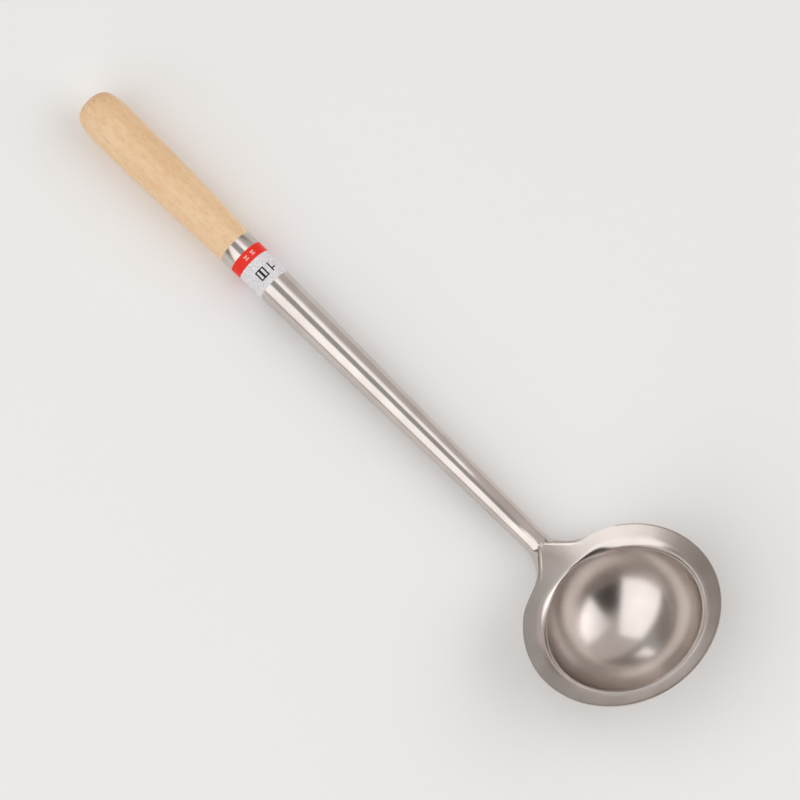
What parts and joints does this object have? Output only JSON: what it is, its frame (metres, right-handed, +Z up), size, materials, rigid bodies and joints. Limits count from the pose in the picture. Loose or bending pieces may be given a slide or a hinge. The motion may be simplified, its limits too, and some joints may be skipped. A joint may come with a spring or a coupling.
{
  "type": "wok ladle",
  "caption": "Long-handled cooking ladle: a pressed steel bowl with a flared lip, a rolled steel tube for a stem, and a turned wooden grip.",
  "frame": {"origin": "on the surface the ladle lies on, under the middle of its bounding box, in its plane of symmetry", "axes": "+X from the wooden butt to the bowl, +Z up, the ladle lying at rest on the underside of its bowl and the belly of its wooden grip, symmetric about XZ except for the nail"},
  "size_m": [0.4906, 0.115, 0.0681],
  "materials": {
    "steel": "satin, soft buffed",
    "wood": "bare turned, fine sanded",
    "nail_steel": "plain",
    "label": "printed film"
  },
  "bodies": {
    "root": {"ladle_body": "steel", "wooden_handle": "wood", "handle_nail": "nail_steel", "size_label": "label"}
  },
  "joints": []
}
